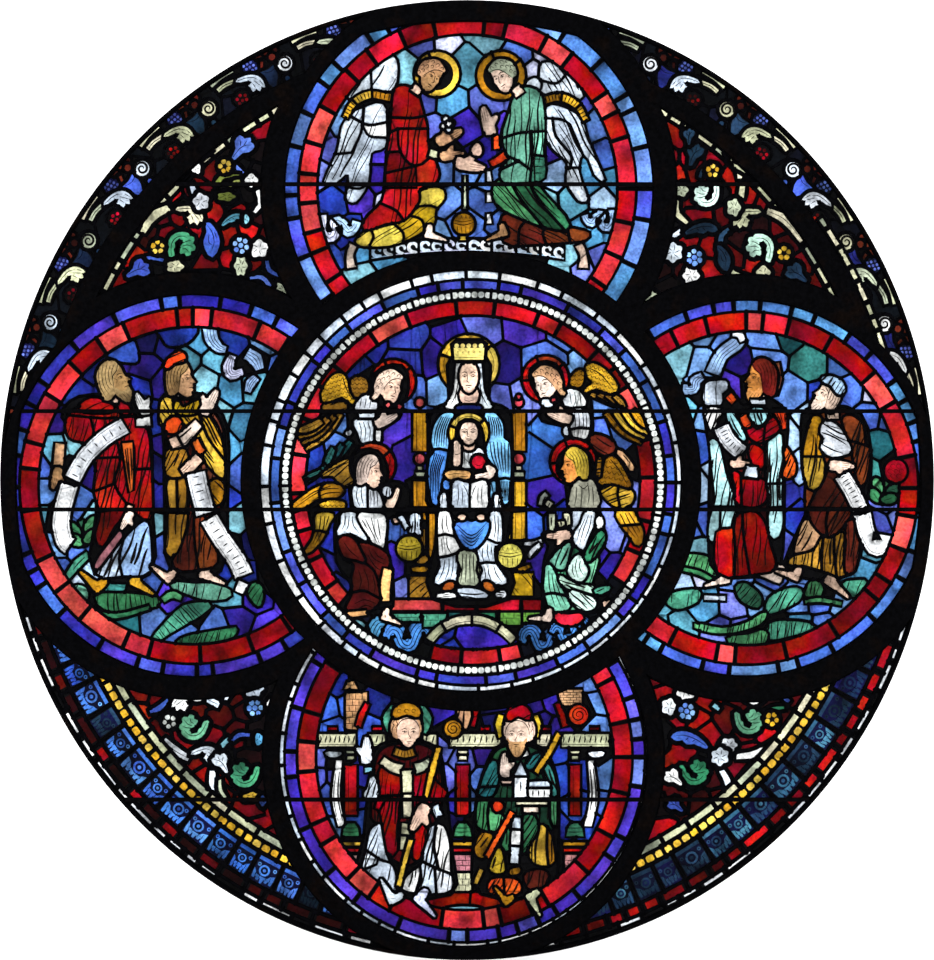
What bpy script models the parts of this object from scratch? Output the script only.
"""Rose window: a forged iron armature, eleven leaded glass panels and the saddle bars that stiffen them.

The window stands in the XZ plane and faces -Y, its indoor side. The origin is on the back face of the rim,
at its lowest point. Every outline is an arc of a circle, and the whole window is drawn a little taller than wide,
except for the middle ring, which is truly round.
"""

import math

import bmesh
import bpy
from mathutils import Matrix

# Driving dimensions, in metres. Outlines are laid out from the centre of the window, as (across, up).
WIDTH = 2.30
RISE = 1.028
RIM_RADIUS = WIDTH / 2
GLASS_LIMIT = 1.1425
# How far out from the window's centre the glass of each outer medallion reaches.
MEDALLION_LIMITS = {"top": 1.102, "left": 1.114, "right": 1.120, "bottom": 1.1325}

SPANDREL_RADIUS = 1.013
BORDER_INNER_RADIUS = 1.067
BORDER_INNER_DROP = 0.015
SIDE_IRON_AT_BORDER = 0.475

# Hand-forged rings are not quite alike: (across, up, glass radius, outer radius of the iron round it).
RINGS = {
    "centre": (0.0095, -0.002, 0.5215, 0.565),
    "top": (0.0045, 0.699, 0.456, 0.510),
    "left": (-0.676, -0.0135, 0.460, 0.510),
    "right": (0.6895, -0.0195, 0.453, 0.510),
    "bottom": (-0.009, -0.665, 0.456, 0.493),
}
TOP_IRON_AT_BORDER = {"left": 0.488, "right": 0.512}

ARMATURE_DEPTH = 0.030
GLASS_FRONT = -0.019
GLASS_BACK = -0.009
BAR_SIZE = 0.010
GAP = 0.0003

UPPER_ROW = 0.709
MIDDLE_ROWS = {"upper": 0.165, "lower": -0.0707}
LOWER_ROW = -0.766

SEGMENTS = 96
RIM_SEGMENTS = 192
CUTTER_REACH = 0.05

BOTTOM_OF_GLASS = RINGS["bottom"][2] - RINGS["bottom"][1]
MOUNT_DROP = (RIM_RADIUS + BOTTOM_OF_GLASS) / 2
CENTRE_HEIGHT = MOUNT_DROP * RISE

IRON = (0.018, 0.018, 0.020)
COLOURS = {
    "centre_medallion": (0.16, 0.12, 0.55),
    "top_medallion": (0.25, 0.32, 0.75),
    "left_medallion": (0.12, 0.20, 0.62),
    "right_medallion": (0.14, 0.30, 0.55),
    "bottom_medallion": (0.18, 0.16, 0.52),
    "spandrel": (0.60, 0.03, 0.04),
    "border": (0.05, 0.08, 0.22),
}


def disc(centre, radius, segments=SEGMENTS, rise=1.0):
    """A circle of an outline, drawn rise times as high as it is wide before the window is stretched."""
    return {"centre": centre, "radius": radius, "segments": segments, "rise": rise}


def ring_disc(ring, radius):
    across, up, _, _ = RINGS[ring]
    return disc((across, up), radius, rise=1 / RISE if ring == "centre" else 1.0)


def glass_disc(ring):
    return ring_disc(ring, RINGS[ring][2])


def iron_disc(ring, radius=None):
    return ring_disc(ring, radius or RINGS[ring][3])


def outline(keep, cuts, side=(0, 0), limit=None):
    """The region inside one disc and outside the others. A side keeps it on that side of the window's axes,
    and a limit keeps it within that distance of the window's centre."""
    return {"keep": keep, "cuts": cuts, "side": side, "limit": limit}


def medallion(ring):
    """One of the four outer medallions: a round panel bitten into by the middle ring, and cut short at the rim."""
    return outline(glass_disc(ring), [iron_disc("centre")], limit=MEDALLION_LIMITS[ring])


def spandrel(rings, side, radius):
    """The three-cornered panel between two medallions, the middle ring and an outer arc."""
    bites = [iron_disc(ring) for ring in (*rings, "centre")]
    return outline(disc((0, 0), radius, RIM_SEGMENTS), bites, side)


def border(ring, side):
    """The crescent of foliage above a spandrel, between an arc set a little low and the rim."""
    bites = [
        disc((0, -BORDER_INNER_DROP), BORDER_INNER_RADIUS, RIM_SEGMENTS),
        iron_disc(ring, SIDE_IRON_AT_BORDER),
        iron_disc("top", TOP_IRON_AT_BORDER[ring]),
    ]
    return outline(disc((0, 0), GLASS_LIMIT, RIM_SEGMENTS), bites, side)


PANELS = {
    "centre_medallion": outline(glass_disc("centre"), []),
    "top_medallion": medallion("top"),
    "left_medallion": medallion("left"),
    "right_medallion": medallion("right"),
    "bottom_medallion": medallion("bottom"),
    "upper_left_spandrel": spandrel(("top", "left"), (-1, 1), SPANDREL_RADIUS),
    "upper_right_spandrel": spandrel(("top", "right"), (1, 1), SPANDREL_RADIUS),
    "lower_left_spandrel": spandrel(("bottom", "left"), (-1, -1), GLASS_LIMIT),
    "lower_right_spandrel": spandrel(("bottom", "right"), (1, -1), GLASS_LIMIT),
    "upper_left_border": border("left", (-1, 1)),
    "upper_right_border": border("right", (1, 1)),
}


def clear_scene():
    for obj in list(bpy.data.objects):
        bpy.data.objects.remove(obj, do_unlink=True)


def new_collection(name, helper=False):
    collection = bpy.data.collections.new(name)
    collection.hide_render = helper
    bpy.context.scene.collection.children.link(collection)
    return collection


def material(name, colour, roughness, metallic, transmission=0.0):
    made = bpy.data.materials.new(name)
    made.use_nodes = True
    shader = made.node_tree.nodes["Principled BSDF"]
    shader.inputs["Base Color"].default_value = (*colour, 1.0)
    shader.inputs["Roughness"].default_value = roughness
    shader.inputs["Metallic"].default_value = metallic
    shader.inputs["Transmission Weight"].default_value = transmission
    return made


def new_object(name, bm, collection, parent):
    """Turns a bmesh into an object that hangs from the window's centre."""
    mesh = bpy.data.meshes.new(name)
    bm.to_mesh(mesh)
    bm.free()
    mesh.shade_smooth()
    mesh.set_sharp_from_angle(angle=math.radians(40))
    obj = bpy.data.objects.new(name, mesh)
    obj.parent = parent
    collection.objects.link(obj)
    return obj


def drum(name, circle, front, back, collection, parent, grow=0.0):
    """A disc of an outline, drawn out from front to back along Y."""
    bm = bmesh.new()
    radius = circle["radius"] + grow
    bmesh.ops.create_cone(
        bm,
        cap_ends=True,
        segments=circle["segments"],
        radius1=radius,
        radius2=radius,
        depth=back - front,
    )
    across, up = circle["centre"]
    stand_up = Matrix.Rotation(math.radians(90), 4, "X")
    flatten = Matrix.Diagonal((1, 1, circle["rise"], 1))
    place = Matrix.Translation((across, (front + back) / 2, up))
    stretch = Matrix.Diagonal((1, 1, RISE, 1))
    bmesh.ops.transform(bm, matrix=stretch @ place @ flatten @ stand_up, verts=bm.verts)
    return new_object(name, bm, collection, parent)


def block(name, low, high, collection, parent):
    """A box between two corners."""
    bm = bmesh.new()
    bmesh.ops.create_cube(bm, size=1)
    size = [b - a for a, b in zip(low, high)]
    middle = [(a + b) / 2 for a, b in zip(low, high)]
    scale = Matrix.Diagonal((*size, 1))
    bmesh.ops.transform(bm, matrix=Matrix.Translation(middle) @ scale, verts=bm.verts)
    return new_object(name, bm, collection, parent)


def boolean(obj, cutter, operation):
    modifier = obj.modifiers.new(f"{operation.lower()} {cutter.name}", "BOOLEAN")
    modifier.operation = operation
    modifier.solver = "EXACT"
    modifier.object = cutter


def hide_as_cutter(obj):
    obj.hide_render = True
    obj.display_type = "WIRE"
    return obj


def slab(name, shape, front, back, collection, cutters, parent, grow=0.0):
    """The solid of an outline. A positive grow makes it larger all round, for the opening that it sits in."""
    solid = drum(name, shape["keep"], front, back, collection, parent, grow)
    reach = (front - CUTTER_REACH, back + CUTTER_REACH)
    for number, circle in enumerate(shape["cuts"]):
        tool = drum(f"{name} bite {number}", circle, *reach, cutters, parent, -grow)
        boolean(solid, hide_as_cutter(tool), "DIFFERENCE")
    if shape["side"] != (0, 0):
        across, up = (WIDTH * sign for sign in shape["side"])
        low = (min(0, across), reach[0], min(0, up))
        high = (max(0, across), reach[1], max(0, up))
        tool = block(f"{name} quarter", low, high, cutters, parent)
        boolean(solid, hide_as_cutter(tool), "INTERSECT")
    if shape["limit"]:
        limit = disc((0, 0), shape["limit"], RIM_SEGMENTS)
        tool = drum(f"{name} rim line", limit, *reach, cutters, parent, grow)
        boolean(solid, hide_as_cutter(tool), "INTERSECT")
    return solid


def chord(circle, up):
    """How far left and right a disc reaches at a height, or None where it doesn't reach."""
    across, middle = circle["centre"]
    square = circle["radius"] ** 2 - ((up - middle) / circle["rise"]) ** 2
    if square <= 0:
        return None
    half = math.sqrt(square)
    return across - half, across + half


def clear_span(shape, up):
    """The left and right ends of an outline at a height."""
    low, high = chord(shape["keep"], up)
    inside = (low + high) / 2
    if shape["side"] != (0, 0):
        inside = shape["side"][0] * abs(low) * 0.99
    limit = chord(disc((0, 0), shape["limit"] or WIDTH), up)
    low, high = max(low, limit[0]), min(high, limit[1])
    for bite in filter(None, (chord(circle, up) for circle in shape["cuts"])):
        if bite[1] < inside:
            low = max(low, bite[1])
        elif bite[0] > inside:
            high = min(high, bite[0])
    return low, high


def saddle_bar(name, shape, up, collection, parent):
    """A square bar across the front of a panel, from iron to iron."""
    half_height = BAR_SIZE / 2 / RISE
    edges = [clear_span(shape, up + offset) for offset in (-half_height, 0, half_height)]
    low = max(edge[0] for edge in edges) + 2 * GAP
    high = min(edge[1] for edge in edges) - 2 * GAP
    back = GLASS_FRONT - GAP
    corners = (
        (low, back - BAR_SIZE, up * RISE - BAR_SIZE / 2),
        (high, back, up * RISE + BAR_SIZE / 2),
    )
    return block(name, *corners, collection, parent)


def panels(collection, cutters, parent):
    for name, shape in PANELS.items():
        family = name if name in COLOURS else name.rsplit("_", 1)[-1]
        panel = slab(name, shape, GLASS_FRONT, GLASS_BACK, collection, cutters, parent)
        panel.data.materials.append(material(name, COLOURS[family], 0.15, 0.0, 0.8))


def armature(collection, cutters, parent, iron):
    plate = drum(
        "armature",
        disc((0, 0), RIM_RADIUS, RIM_SEGMENTS),
        -ARMATURE_DEPTH,
        0.0,
        collection,
        parent,
    )
    for name, shape in PANELS.items():
        reach = (-ARMATURE_DEPTH - CUTTER_REACH, CUTTER_REACH)
        opening = slab(f"{name} opening", shape, *reach, cutters, cutters, parent, GAP)
        boolean(plate, hide_as_cutter(opening), "DIFFERENCE")
    plate.data.materials.append(iron)


def saddle_bars(collection, parent, iron):
    rows = {}
    for name in ("top_medallion", "upper_left_spandrel", "upper_right_spandrel"):
        rows[f"{name}_bar"] = (name, UPPER_ROW)
    for name in ("bottom_medallion", "lower_left_spandrel", "lower_right_spandrel"):
        rows[f"{name}_bar"] = (name, LOWER_ROW)
    for name in ("left_medallion", "centre_medallion", "right_medallion"):
        for place, up in MIDDLE_ROWS.items():
            rows[f"{name}_{place}_bar"] = (name, up)
    for bar_name, (name, up) in rows.items():
        bar = saddle_bar(bar_name, PANELS[name], up, collection, parent)
        bar.data.materials.append(iron)


def main():
    clear_scene()
    window = new_collection("rose_window")
    cutters = new_collection("cutters", helper=True)
    centre = bpy.data.objects.new("window_centre", None)
    centre.location = (0, 0, CENTRE_HEIGHT)
    window.objects.link(centre)
    iron = material("iron", IRON, 0.65, 0.8)
    panels(window, cutters, centre)
    armature(window, cutters, centre, iron)
    saddle_bars(window, centre, iron)


main()
